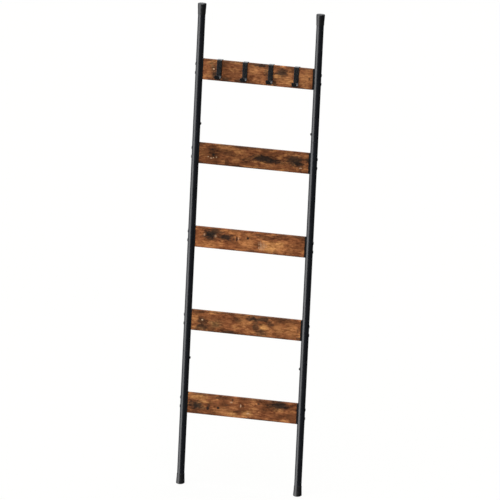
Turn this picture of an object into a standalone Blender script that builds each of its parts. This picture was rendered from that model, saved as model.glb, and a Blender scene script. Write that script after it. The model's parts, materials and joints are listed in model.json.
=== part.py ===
"""A blanket ladder that leans on a wall: two tube posts, five flat boards and four hooks.

Every piece is modelled upright in the ladder's own plane and hangs from one empty, ladder_lean,
which tips the whole ladder back to its leaning angle. In that plane X runs across the ladder,
Y runs from the front (negative) to the wall side, and Z runs up the posts. Z = 0 is where a
post's axis meets the floor. Left and right are as seen from the front.
"""

import math

import bmesh
import bpy
from mathutils import Matrix

# Driving dimensions, in metres.
LEAN_ANGLE = math.radians(10.0)
POST_LENGTH = 1.650
POST_SPACING = 0.410
GAP = 0.0003

TUBE_RADIUS = 0.0125
TUBE_WALL = 0.0012
LOWER_SEAM_Z = 0.460
UPPER_SEAM_Z = 1.215

CAP_TIP_RADIUS = 0.0145
CAP_MOUTH_RADIUS = 0.0133
CAP_LENGTH = 0.038
CAP_END_THICKNESS = 0.0035
CAP_ROUNDING = 0.0022
CAP_CROWN = 0.0008
CAP_STRAIGHT_SHARE = 0.30
CAP_DRAFT = 0.0001
FOOT_END_THICKNESS = 0.0062

SLEEVE_RADIUS = 0.0110
SLEEVE_WALL = 0.0015
SLEEVE_LENGTH = 0.080
JOINT_SCREW_OFFSET = 0.025

BOARD_HEIGHT = 0.070
BOARD_THICKNESS = 0.015
BOARD_EDGE = 0.0006
BOARD_COUNT = 5
BOARD_PITCH = 0.2865
TOP_BOARD_Z = POST_LENGTH - 0.223

SADDLE_WALL = 0.0022
SADDLE_HEIGHT = BOARD_HEIGHT

BOLT_RADIUS = 0.0030
BOLT_HEAD_RADIUS = 0.0054
BOLT_HEAD_HEIGHT = 0.0007
BOLT_SPREAD = 0.030
BOLT_GRIP_IN_BOARD = 0.024
HEX_ACROSS_FLATS = 0.0040
HEX_DEPTH = 0.0018

SCREW_RADIUS = 0.0025
SCREW_HEAD_RADIUS = 0.0045
SCREW_HEAD_HEIGHT = 0.0027
SCREW_LENGTH = 0.0065

HOOK_COUNT = 4
HOOK_PITCH = 0.089
HOOK_WIDTH = 0.017
HOOK_THICKNESS = 0.002
HOOK_BEND_RADIUS = 0.001
HOOK_CURL_RADIUS = 0.0135
HOOK_BACK_LEG = 0.022
HOOK_DROP = 0.063
HOOK_TIP_RISE = 0.001
HOOK_ROOM_ABOVE_BOARD = 0.0004

TUBE_SIDES = 28
FASTENER_SIDES = 12
HOLE_SIDES = 12

# Fastener heads, from the crown down to the rim: (share of the radius, share of the height).
PAN_HEAD = [(0.62, 1.0), (0.90, 0.72), (1.0, 0.35), (1.0, 0.0)]
BUTTON_HEAD = [(0.60, 1.0), (0.88, 0.70), (1.0, 0.25), (1.0, 0.0)]

# How far a cutter reaches past what it cuts.
DRILL_SPARE = 0.001
FLOOR_CUTTER_DEPTH = 0.2
FLOOR_CUTTER_HEIGHT = 0.1

# Sizes worked out from the driving dimensions.
POST_X = POST_SPACING / 2
TUBE_BORE = TUBE_RADIUS - TUBE_WALL
CAP_BORE = TUBE_RADIUS + GAP
TUBE_BOTTOM = FOOT_END_THICKNESS + GAP
TUBE_TOP = POST_LENGTH - CAP_END_THICKNESS - GAP
SADDLE_OUTER_X = POST_X - TUBE_RADIUS - GAP
BOARD_HALF_LENGTH = SADDLE_OUTER_X - SADDLE_WALL - GAP
FRONT_Y = -CAP_TIP_RADIUS / math.cos(LEAN_ANGLE)
CAP_SHOULDER_Z = POST_LENGTH - CAP_CROWN - CAP_ROUNDING
BACK_Y = CAP_TIP_RADIUS * math.cos(LEAN_ANGLE) + CAP_SHOULDER_Z * math.sin(LEAN_ANGLE)
ORIGIN_Y = -(FRONT_Y + BACK_Y) / 2

SIDES = {"left": -1, "right": 1}
JOINTS = {
    "lower": (LOWER_SEAM_Z, LOWER_SEAM_Z - JOINT_SCREW_OFFSET),
    "upper": (UPPER_SEAM_Z, UPPER_SEAM_Z + JOINT_SCREW_OFFSET),
}
TUBES = {
    "lower": (TUBE_BOTTOM, LOWER_SEAM_Z),
    "middle": (LOWER_SEAM_Z + GAP, UPPER_SEAM_Z),
    "upper": (UPPER_SEAM_Z + GAP, TUBE_TOP),
}


def clear_scene():
    for obj in list(bpy.data.objects):
        bpy.data.objects.remove(obj, do_unlink=True)


def new_collection(name, hidden=False):
    collection = bpy.data.collections.new(name)
    collection.hide_render = hidden
    bpy.context.scene.collection.children.link(collection)
    return collection


def new_material(name, colour, roughness, metallic=0.0):
    material = bpy.data.materials.new(name)
    material.use_nodes = True
    shader = material.node_tree.nodes["Principled BSDF"]
    shader.inputs["Base Color"].default_value = (*colour, 1.0)
    shader.inputs["Roughness"].default_value = roughness
    shader.inputs["Metallic"].default_value = metallic


def link(name, data, collection, parent):
    obj = bpy.data.objects.new(name, data)
    collection.objects.link(obj)
    obj.parent = parent
    return obj


def fastener_profile(head, head_radius, head_height, shank_radius, shank_length):
    """A fastener's outline, head up, with the underside of its head at height 0."""
    profile = [(0, head_height)]
    profile += [(head_radius * across, head_height * up) for across, up in head]
    return profile + [(shank_radius, 0), (shank_radius, -shank_length), (0, -shank_length)]


def add_piece(name, data, material, lean):
    """A visible piece of the ladder, hung from the empty that leans it back."""
    data.materials.append(bpy.data.materials[material])
    return link(name, data, bpy.data.collections["blanket_ladder"], lean)


def add_cutter(name, data, parent):
    cutter = link(name, data, bpy.data.collections["cutters"], parent)
    cutter.hide_render = True
    cutter.display_type = "WIRE"
    return cutter


def cut(obj, cutter):
    boolean = obj.modifiers.new(f"cut by {cutter.name}", "BOOLEAN")
    boolean.operation = "DIFFERENCE"
    boolean.object = cutter


def smooth(mesh, sharp_angle=35.0):
    mesh.shade_smooth()
    mesh.set_sharp_from_angle(angle=math.radians(sharp_angle))


def turned_mesh(name, profile, sides):
    """The outline (radius, height) as bare edges, which a Screw modifier turns about Z."""
    mesh = bpy.data.meshes.new(name)
    points = [(radius, 0.0, height) for radius, height in profile]
    edges = [(i, i + 1) for i in range(len(points) - 1)]
    if profile[0][0] > 0:
        edges.append((len(points) - 1, 0))
    mesh.from_pydata(points, edges, [])
    mesh["sides"] = sides
    return mesh


def turn(obj):
    screw = obj.modifiers.new("turn", "SCREW")
    screw.axis = "Z"
    screw.steps = obj.data["sides"]
    screw.render_steps = obj.data["sides"]
    screw.use_merge_vertices = True
    screw.merge_threshold = 0.00001
    screw.use_smooth_shade = True


def arc(centre, radius, start, end, steps):
    """Points round a centre from one angle to another, in degrees, both ends included."""
    points = []
    for i in range(steps + 1):
        angle = math.radians(start + (end - start) * i / steps)
        points.append((centre[0] + radius * math.cos(angle), centre[1] + radius * math.sin(angle)))
    return points


def rods_mesh(rods, sides):
    """One mesh of closed cylinders along X: each rod is (x centre, z, length, radius)."""
    mesh = bpy.data.meshes.new("rods")
    shape = bmesh.new()
    for x, z, length, radius in rods:
        place = Matrix.Translation((x, 0, z)) @ Matrix.Rotation(math.radians(90), 4, "Y")
        bmesh.ops.create_cone(
            shape,
            cap_ends=True,
            segments=sides,
            radius1=radius,
            radius2=radius,
            depth=length,
            matrix=place,
        )
    shape.to_mesh(mesh)
    shape.free()
    return mesh


def board_heights():
    """Each board's centre on the posts, from the top board down."""
    return [TOP_BOARD_Z - i * BOARD_PITCH for i in range(BOARD_COUNT)]


def bolt_heights(board_z):
    return {"upper": board_z + BOLT_SPREAD / 2, "lower": board_z - BOLT_SPREAD / 2}


def make_tube(side, level, bottom, top, lean):
    """One round steel tube of a post, drilled for its board bolts and its joint screw."""
    name = f"{side}_post_{level}_tube"
    sign = SIDES[side]
    profile = [(TUBE_RADIUS, top), (TUBE_RADIUS, bottom), (TUBE_BORE, bottom), (TUBE_BORE, top)]
    tube = add_piece(name, turned_mesh(name, profile, TUBE_SIDES), "black_powder_coat", lean)
    tube.location.x = sign * POST_X
    turn(tube)
    through = 3 * TUBE_RADIUS
    rods = []
    for board_z in board_heights():
        for z in bolt_heights(board_z).values():
            if bottom < z < top:
                rods.append((0, z, through, BOLT_RADIUS + GAP))
    for _, screw_z in JOINTS.values():
        if bottom < screw_z < top:
            rods.append((-sign * TUBE_RADIUS, screw_z, TUBE_RADIUS, SCREW_RADIUS + GAP))
    drill = add_cutter(f"{name}_drill", rods_mesh(rods, HOLE_SIDES), lean)
    drill.location.x = tube.location.x
    cut(tube, drill)


def make_sleeve(side, level, seam_z, screw_z, lean):
    """The steel sleeve inside a post that bridges two tubes at their seam."""
    name = f"{side}_{level}_joint_sleeve"
    sign = SIDES[side]
    bottom, top = seam_z - SLEEVE_LENGTH / 2, seam_z + SLEEVE_LENGTH / 2
    bore = SLEEVE_RADIUS - SLEEVE_WALL
    profile = [(SLEEVE_RADIUS, top), (SLEEVE_RADIUS, bottom), (bore, bottom), (bore, top)]
    sleeve = add_piece(name, turned_mesh(name, profile, TUBE_SIDES), "zinc_steel", lean)
    sleeve.location.x = sign * POST_X
    turn(sleeve)
    rod = (-sign * TUBE_RADIUS, screw_z, TUBE_RADIUS, SCREW_RADIUS + GAP)
    drill = add_cutter(f"{name}_drill", rods_mesh([rod], HOLE_SIDES), lean)
    drill.location.x = sleeve.location.x
    cut(sleeve, drill)


def make_joint_screw(side, level, screw_z, lean):
    """The pan-head screw on the inner side of a post, through the tube and into the sleeve."""
    name = f"{side}_{level}_joint_screw"
    sign = SIDES[side]
    profile = fastener_profile(
        PAN_HEAD, SCREW_HEAD_RADIUS, SCREW_HEAD_HEIGHT, SCREW_RADIUS, SCREW_LENGTH
    )
    screw = add_piece(name, turned_mesh(name, profile, FASTENER_SIDES), "black_fastener", lean)
    screw.location = (sign * (POST_X - TUBE_RADIUS - GAP), 0, screw_z)
    screw.rotation_euler.y = -sign * math.radians(90)
    turn(screw)


def cap_profile(end_thickness):
    """A flared cup, tip up: the tip's outer face is at height 0 and the mouth is below it."""
    shoulder = CAP_TIP_RADIUS - CAP_ROUNDING
    rounding = arc((shoulder, -CAP_ROUNDING), CAP_ROUNDING, 90, 0, 3)
    rounding = [(radius, height - CAP_CROWN) for radius, height in rounding]
    profile = [(0, 0)] + rounding
    flare_start = -CAP_LENGTH * CAP_STRAIGHT_SHARE
    profile += [(CAP_TIP_RADIUS - CAP_DRAFT, flare_start), (CAP_MOUTH_RADIUS, -CAP_LENGTH)]
    profile += [(CAP_BORE, -CAP_LENGTH), (CAP_BORE, -end_thickness), (0, -end_thickness)]
    return profile


def make_top_cap(side, lean):
    """The plastic cap over the top of a post."""
    name = f"{side}_top_cap"
    mesh = turned_mesh(name, cap_profile(CAP_END_THICKNESS), TUBE_SIDES)
    cap = add_piece(name, mesh, "black_cap_plastic", lean)
    cap.location = (SIDES[side] * POST_X, 0, POST_LENGTH)
    turn(cap)


def make_foot_cap(side, lean, floor_cutter):
    """The plastic foot: the same flared cup, tip down, with its sole cut level with the floor."""
    name = f"{side}_foot_cap"
    # The tip starts this far below the floor, so that the level cut reaches across all of it.
    spare = CAP_TIP_RADIUS * math.tan(LEAN_ANGLE) + CAP_ROUNDING + CAP_CROWN
    profile = cap_profile(FOOT_END_THICKNESS + spare)
    foot = add_piece(name, turned_mesh(name, profile, TUBE_SIDES), "black_cap_plastic", lean)
    foot.location = (SIDES[side] * POST_X, 0, -spare)
    foot.rotation_euler.x = math.radians(180)
    turn(foot)
    cut(foot, floor_cutter)


def make_floor_cutter():
    """A block whose top face is the floor, so that it levels both soles."""
    mesh = bpy.data.meshes.new("floor_cutter")
    shape = bmesh.new()
    bmesh.ops.create_cube(shape, size=1.0)
    size = (POST_SPACING * 2, FLOOR_CUTTER_DEPTH, FLOOR_CUTTER_HEIGHT)
    bmesh.ops.scale(shape, vec=size, verts=shape.verts)
    bmesh.ops.translate(shape, vec=(0, ORIGIN_Y, -FLOOR_CUTTER_HEIGHT / 2), verts=shape.verts)
    shape.to_mesh(mesh)
    shape.free()
    return add_cutter("floor_cutter", mesh, None)


def make_board(number, board_z, lean):
    """One flat board, drilled in both ends for its bolts."""
    name = f"rung_board_{number}"
    mesh = bpy.data.meshes.new(name)
    shape = bmesh.new()
    bmesh.ops.create_cube(shape, size=1.0)
    size = (2 * BOARD_HALF_LENGTH, BOARD_THICKNESS, BOARD_HEIGHT)
    bmesh.ops.scale(shape, vec=size, verts=shape.verts)
    shape.to_mesh(mesh)
    shape.free()
    board = add_piece(name, mesh, "rustic_board", lean)
    board.location.z = board_z
    bevel = board.modifiers.new("edges", "BEVEL")
    bevel.width = BOARD_EDGE
    bevel.segments = 1
    depth = BOLT_GRIP_IN_BOARD + DRILL_SPARE
    rods = []
    for sign in SIDES.values():
        for z in bolt_heights(0).values():
            rods.append((sign * BOARD_HALF_LENGTH, z, 2 * depth, BOLT_RADIUS + GAP))
    drill = add_cutter(f"{name}_drill", rods_mesh(rods, HOLE_SIDES), lean)
    drill.location.z = board_z
    cut(board, drill)


def make_saddle(number, side, board_z, lean):
    """The spacer between a board's flat end and the round post, hollow on its post side."""
    name = f"rung_{number}_{side}_saddle"
    sign = SIDES[side]
    half_depth = BOARD_THICKNESS / 2
    seat_radius = TUBE_RADIUS + GAP
    reach = math.degrees(math.asin(half_depth / seat_radius))
    flat_x = -(TUBE_RADIUS + GAP + SADDLE_WALL)
    outline = arc((0, 0), seat_radius, 180 - reach, 180 + reach, 6)
    outline += [(flat_x, -half_depth), (flat_x, half_depth)]
    mesh = bpy.data.meshes.new(name)
    shape = bmesh.new()
    bottom = [shape.verts.new((sign * x, y, -SADDLE_HEIGHT / 2)) for x, y in outline]
    face = shape.faces.new(bottom)
    lifted = bmesh.ops.extrude_face_region(shape, geom=[face])
    top = [item for item in lifted["geom"] if isinstance(item, bmesh.types.BMVert)]
    bmesh.ops.translate(shape, vec=(0, 0, SADDLE_HEIGHT), verts=top)
    bmesh.ops.recalc_face_normals(shape, faces=shape.faces)
    shape.to_mesh(mesh)
    shape.free()
    smooth(mesh)
    saddle = add_piece(name, mesh, "black_cap_plastic", lean)
    saddle.location = (sign * POST_X, 0, board_z)
    rods = []
    for z in bolt_heights(0).values():
        rods.append((-sign * TUBE_RADIUS, z, TUBE_RADIUS, BOLT_RADIUS + GAP))
    drill = add_cutter(f"{name}_drill", rods_mesh(rods, HOLE_SIDES), lean)
    drill.location = saddle.location
    cut(saddle, drill)


def make_bolt(number, side, level, bolt_z, lean, hex_key):
    """A button-head bolt, head on the post's outer side, that reaches into the board's end."""
    name = f"rung_{number}_{side}_{level}_bolt"
    sign = SIDES[side]
    length = 2 * TUBE_RADIUS + GAP + SADDLE_WALL + 3 * GAP + BOLT_GRIP_IN_BOARD
    profile = fastener_profile(
        BUTTON_HEAD, BOLT_HEAD_RADIUS, BOLT_HEAD_HEIGHT, BOLT_RADIUS, length
    )
    bolt = add_piece(name, turned_mesh(name, profile, FASTENER_SIDES), "black_fastener", lean)
    bolt.location = (sign * (POST_X + TUBE_RADIUS + GAP), 0, bolt_z)
    bolt.rotation_euler.y = sign * math.radians(90)
    turn(bolt)
    key = add_cutter(f"{name}_socket", hex_key, lean)
    key.location = bolt.location
    key.rotation_euler = bolt.rotation_euler
    cut(bolt, key)


def make_hex_key():
    """The socket's cutter: a six-sided rod that stands on the socket's floor, along +Z."""
    mesh = bpy.data.meshes.new("hex_key")
    corner_radius = HEX_ACROSS_FLATS / math.sqrt(3)
    length = 2 * HEX_DEPTH
    floor = BOLT_HEAD_HEIGHT - HEX_DEPTH
    shape = bmesh.new()
    bmesh.ops.create_cone(
        shape,
        cap_ends=True,
        segments=6,
        radius1=corner_radius,
        radius2=corner_radius,
        depth=length,
        matrix=Matrix.Translation((0, 0, floor + length / 2)),
    )
    shape.to_mesh(mesh)
    shape.free()
    return mesh


def hook_outline():
    """The strap's closed outline in (depth, height), with height 0 at the board's top edge."""
    half = BOARD_THICKNESS / 2 + GAP
    thick = HOOK_THICKNESS
    bend = HOOK_BEND_RADIUS
    roof = HOOK_ROOM_ABOVE_BOARD
    curl = HOOK_CURL_RADIUS
    curl_y = -half - thick - curl
    curl_z = -HOOK_DROP + thick + curl
    tip_z = curl_z + HOOK_TIP_RISE
    outline = [(half + thick, -HOOK_BACK_LEG)]
    outline += arc((half - bend, roof - bend), bend + thick, 0, 90, 3)
    outline += arc((-half + bend, roof - bend), bend + thick, 90, 180, 3)
    outline += arc((curl_y, curl_z), curl, 0, -180, 12)
    outline += [(curl_y - curl, tip_z), (curl_y - curl - thick, tip_z)]
    outline += arc((curl_y, curl_z), curl + thick, -180, 0, 12)
    outline += arc((-half + bend, roof - bend), bend, 180, 90, 2)
    outline += arc((half - bend, roof - bend), bend, 90, 0, 2)
    outline += [(half, -HOOK_BACK_LEG)]
    return outline


def make_hook(number, hook_x, lean):
    """A flat steel strap bent over the top board, with a J-shaped curl at the front."""
    name = f"hook_{number}"
    curve = bpy.data.curves.new(name, "CURVE")
    curve.dimensions = "2D"
    curve.fill_mode = "BOTH"
    curve.extrude = HOOK_WIDTH / 2
    outline = hook_outline()
    spline = curve.splines.new("POLY")
    spline.points.add(len(outline) - 1)
    for point, (y, z) in zip(spline.points, outline):
        point.co = (y, z, 0, 1)
    spline.use_cyclic_u = True
    hook = add_piece(name, curve, "black_hook_enamel", lean)
    hook.location = (hook_x, 0, TOP_BOARD_Z + BOARD_HEIGHT / 2)
    hook.rotation_euler = (math.radians(90), 0, math.radians(90))


def make_materials():
    new_material("black_powder_coat", (0.020, 0.021, 0.024), 0.42, 0.0)
    new_material("black_cap_plastic", (0.018, 0.018, 0.019), 0.55)
    new_material("zinc_steel", (0.60, 0.61, 0.62), 0.35, 1.0)
    new_material("black_fastener", (0.015, 0.015, 0.016), 0.38, 0.6)
    new_material("black_hook_enamel", (0.016, 0.016, 0.018), 0.30)
    new_material("rustic_board", (0.300, 0.130, 0.050), 0.55)


def main():
    clear_scene()
    collection = new_collection("blanket_ladder")
    new_collection("cutters", hidden=True)
    make_materials()
    lean = link("ladder_lean", None, collection, None)
    lean.location = (0, ORIGIN_Y, 0)
    lean.rotation_euler.x = -LEAN_ANGLE
    floor_cutter = make_floor_cutter()
    hex_key = make_hex_key()
    for side in SIDES:
        for level, (bottom, top) in TUBES.items():
            make_tube(side, level, bottom, top, lean)
        for level, (seam_z, screw_z) in JOINTS.items():
            make_sleeve(side, level, seam_z, screw_z, lean)
            make_joint_screw(side, level, screw_z, lean)
        make_top_cap(side, lean)
        make_foot_cap(side, lean, floor_cutter)
    for number, board_z in enumerate(board_heights(), start=1):
        make_board(number, board_z, lean)
        for side in SIDES:
            make_saddle(number, side, board_z, lean)
            for level, bolt_z in bolt_heights(board_z).items():
                make_bolt(number, side, level, bolt_z, lean, hex_key)
    for i in range(HOOK_COUNT):
        make_hook(i + 1, (i - (HOOK_COUNT - 1) / 2) * HOOK_PITCH, lean)


main()
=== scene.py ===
"""The looks of a leaning blanket ladder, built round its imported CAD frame.

Every piece is modelled in the ladder's own plane and placed by LADDER, the matrix that leans that
plane back as the frame's mounts say. In the plane X runs across the ladder, Y from the front
(negative) to the wall side, and Z up the posts. Sizes are in metres. Left and right are as seen
from the front.
"""

import json
import math

import bmesh
import bpy
from mathutils import Matrix, Vector


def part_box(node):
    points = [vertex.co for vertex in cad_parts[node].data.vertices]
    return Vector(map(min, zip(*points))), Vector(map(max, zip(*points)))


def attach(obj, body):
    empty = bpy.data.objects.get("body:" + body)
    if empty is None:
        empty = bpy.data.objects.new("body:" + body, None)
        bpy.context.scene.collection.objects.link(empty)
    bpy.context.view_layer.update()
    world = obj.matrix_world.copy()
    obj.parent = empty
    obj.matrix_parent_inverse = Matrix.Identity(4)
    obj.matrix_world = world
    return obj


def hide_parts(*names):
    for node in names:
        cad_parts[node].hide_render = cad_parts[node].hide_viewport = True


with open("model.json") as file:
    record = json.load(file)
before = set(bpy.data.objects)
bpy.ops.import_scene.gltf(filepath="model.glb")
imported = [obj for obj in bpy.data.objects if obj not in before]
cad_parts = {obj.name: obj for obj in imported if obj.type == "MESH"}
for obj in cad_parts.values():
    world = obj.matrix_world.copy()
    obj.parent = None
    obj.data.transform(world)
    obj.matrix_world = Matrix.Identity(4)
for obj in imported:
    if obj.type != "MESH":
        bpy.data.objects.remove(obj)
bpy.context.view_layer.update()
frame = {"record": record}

# The design's sizes, the same as the CAD frame's.
POST_LENGTH = 1.650
TUBE_RADIUS = 0.0125
TUBE_WALL = 0.0012
TUBE_EDGE_SHARE = 0.25
GAP = 0.0003
SEAMS = (0.460, 1.215)
CAP_TIP_RADIUS = 0.0145
CAP_MOUTH_RADIUS = 0.0133
CAP_LENGTH = 0.038
CAP_ROUNDING = 0.0022
CAP_CROWN = 0.0008
CAP_END_THICKNESS = 0.0035
CAP_FLARE_FROM = 0.16
CAP_FLARE_TO = 0.88
CAP_DRAFT = 0.0001
CAP_LIP_ROUNDING = 0.0003
FOOT_END_THICKNESS = 0.0062
SOLE_ROUNDING = 0.0009
SLEEVE_RADIUS = 0.0110
SLEEVE_WALL = 0.0015
SLEEVE_LENGTH = 0.080
BOARD_HEIGHT = 0.070
BOARD_THICKNESS = 0.015
BOARD_EDGE = 0.0008
SADDLE_WALL = 0.0022
SADDLE_HEIGHT = BOARD_HEIGHT
SADDLE_EDGE = 0.0004
BOLT_RADIUS = 0.0030
BOLT_HEAD_RADIUS = 0.0054
BOLT_HEAD_HEIGHT = 0.0007
BOLT_HEAD_SHARES = (0.46, 0.16)
BOLT_SPREAD = 0.030
BOLT_GRIP_IN_BOARD = 0.024
HEX_ACROSS_FLATS = 0.0040
HEX_DEPTH = 0.0018
BOLT_THREAD_PITCH = 0.0010
SCREW_RADIUS = 0.0025
SCREW_HEAD_RADIUS = 0.0045
SCREW_HEAD_HEIGHT = 0.0027
SCREW_HEAD_SHARES = (0.55, 0.25)
SCREW_LENGTH = 0.0065
SCREW_PLAIN_LENGTH = 0.0006
SCREW_THREAD_PITCH = 0.0008
CROSS_WIDTH = 0.0011
CROSS_SPAN = 0.0052
CROSS_DEPTH = 0.0016
CROSS_FLOOR_SHARE = 0.45
CROSS_MOUTH_SHARE = 1.1
CROSS_OVERSHOOT_SHARE = 0.3
HEAD_EDGE = 0.0001
THREAD_DEPTH_SHARE = 0.45
THREAD_CREST_SHARE = 0.10
HOOK_WIDTH = 0.017
HOOK_THICKNESS = 0.002
HOOK_BEND_RADIUS = 0.001
HOOK_CURL_RADIUS = 0.0135
HOOK_BACK_LEG = 0.022
HOOK_DROP = 0.063
HOOK_TIP_RISE = 0.001
HOOK_ROOF = 0.0004
HOOK_CORNER = 0.0045
HOOK_RIM = 0.0005

# How far each fastener was left turned, in degrees.
BOLT_TURN_PER_RUNG = 17
BOLT_TURN_BETWEEN_PAIR = 23
SCREW_TURNS = {"lower": 31, "upper": 12}

# How finely round things are cut, and above which angle in degrees an edge is sharp.
ROUND_SIDES = 64
FASTENER_SIDES = 36
DOME_STEPS = 8
SHARP_ANGLE = 40.0
FLAT_FACE_SHARP_ANGLE = 12.0
CARVED_SHARP_ANGLE = 30.0
SADDLE_SHARP_ANGLE = 60.0
MERGE_DISTANCE = 1e-7
MM = 0.001

# The camera and the studio round the ladder, in metres and degrees.
CAMERA_AZIMUTH = 15.4
CAMERA_ELEVATION = 21.6
CAMERA_DISTANCE = 30.0
CAMERA_TARGET = Vector((0, 0.0005, 0.8125))
PICTURE_WIDTH = 1.6784
FLOOR_RADIUS = 44.0
BACKDROP_RADIUS = 45.0
PAPER_WHITE = (1.0, 1.0, 0.99)
FLOOR_GLOW = 0.92
FLOOR_ALBEDO = 0.05
BACKDROP_GLOW = 0.98

# Where the room is brighter: direction, cosine at which it starts and is full, and strength.
WORLD_STRENGTH = 0.08
WORLD_LOBES = [
    ((-1.0, 0.1, 0.15), 0.20, 0.85, 0.45),
    ((-0.2, 1.0, 0.05), 0.955, 0.985, 1.10),
    ((0.0, -0.15, 1.0), 0.35, 0.90, 0.60),
]

# Soft suns: azimuth (0 is the front, negative is the left), elevation, strength and softness.
SUN_DISTANCE = 6.0
SUNS = {
    "side_key": (-49, 6, 2.75, 57),
    "front_fill": (14, 60, 1.3, 50),
    "overhead": (180, 75, 2.2, 40),
    "floor_glow": (0, -52, 0.12, 12),
}

SIDES = {"left": -1, "right": 1}
BODY_OF = {n: b for b, ns in frame["record"]["behaviour"]["bodies"].items() for n in ns}
MOUNTS = {mount["name"]: mount for mount in frame["record"]["mounts"]}
UP_THE_POSTS = Vector(MOUNTS["rung_5_top_edge"]["axis"])
LEAN = math.atan2(UP_THE_POSTS.y, UP_THE_POSTS.z)


def ladder_matrix():
    """From the ladder's plane to the frame: leaned back about the line where the posts meet the floor."""
    foot = Vector(MOUNTS["left_foot_sole"]["pos_m"])
    return Matrix.Translation((0, foot.y, 0)) @ Matrix.Rotation(-LEAN, 4, "X")


LADDER = ladder_matrix()
POST_X = MOUNTS["right_foot_sole"]["pos_m"][0]


def in_plane(point):
    """A point of the frame, in the ladder's plane."""
    return LADDER.inverted() @ Vector(point)


def middle(node):
    """The middle of a CAD node, in the ladder's plane."""
    low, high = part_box(node)
    return in_plane((low + high) / 2)


def spin(axis, degrees):
    return Matrix.Rotation(math.radians(degrees), 4, axis)


# ---------------------------------------------------------------- mesh tools


def arc(centre, radius, start, end, steps):
    """Points round a centre from one angle to another, in degrees, both ends included."""
    points = []
    for i in range(steps + 1):
        angle = math.radians(start + (end - start) * i / steps)
        points.append((centre[0] + radius * math.cos(angle), centre[1] + radius * math.sin(angle)))
    return points


def finish_mesh(name, shape, sharp=SHARP_ANGLE):
    """A bmesh as a mesh with clean normals, smooth but for its sharp edges."""
    bmesh.ops.remove_doubles(shape, verts=shape.verts, dist=MERGE_DISTANCE)
    bmesh.ops.recalc_face_normals(shape, faces=shape.faces)
    mesh = bpy.data.meshes.new(name)
    shape.to_mesh(mesh)
    shape.free()
    mesh.shade_smooth()
    mesh.set_sharp_from_angle(angle=math.radians(sharp))
    return mesh


def turned(name, profile, sides):
    """A closed solid turned round Z from an outline of (radius, height)."""
    shape = bmesh.new()
    rings = []
    for radius, height in profile:
        if radius == 0:
            rings.append([shape.verts.new((0, 0, height))])
            continue
        ring = []
        for i in range(sides):
            angle = 2 * math.pi * i / sides
            ring.append(shape.verts.new((radius * math.cos(angle), radius * math.sin(angle), height)))
        rings.append(ring)
    pairs = list(zip(rings, rings[1:]))
    if len(rings[0]) > 1:
        pairs.append((rings[-1], rings[0]))
    for a, b in pairs:
        for i in range(sides):
            j = (i + 1) % sides
            corners = [a[i % len(a)], a[j % len(a)], b[j % len(b)], b[i % len(b)]]
            unique = list(dict.fromkeys(corners))
            if len(unique) > 2:
                shape.faces.new(unique)
    return finish_mesh(name, shape)


def carve(mesh, cutter, name):
    """The mesh with the cutter mesh taken away, by an exact Boolean that is applied at once."""
    collection = bpy.context.scene.collection
    body = bpy.data.objects.new(f"{name}_body", mesh)
    tool = bpy.data.objects.new(f"{name}_tool", cutter)
    collection.objects.link(body)
    collection.objects.link(tool)
    boolean = body.modifiers.new("cut", "BOOLEAN")
    boolean.operation = "DIFFERENCE"
    boolean.solver = "EXACT"
    boolean.object = tool
    bpy.context.view_layer.update()
    evaluated = body.evaluated_get(bpy.context.evaluated_depsgraph_get())
    carved = bpy.data.meshes.new_from_object(evaluated)
    bpy.data.objects.remove(body)
    bpy.data.objects.remove(tool)
    carved.name = name
    carved.shade_smooth()
    carved.set_sharp_from_angle(angle=math.radians(CARVED_SHARP_ANGLE))
    return carved


def place(name, mesh, node, material, local):
    """One finished piece: in its place, riding on the node's body, standing for the node."""
    piece = bpy.data.objects.new(name, mesh)
    bpy.context.scene.collection.objects.link(piece)
    if not mesh.materials:
        mesh.materials.append(material)
    piece.matrix_world = LADDER @ local
    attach(piece, BODY_OF[node])
    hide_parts(node)


# ---------------------------------------------------------------- materials


RANGE_SOCKETS = ("From Min", "From Max", "To Min", "To Max")


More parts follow.
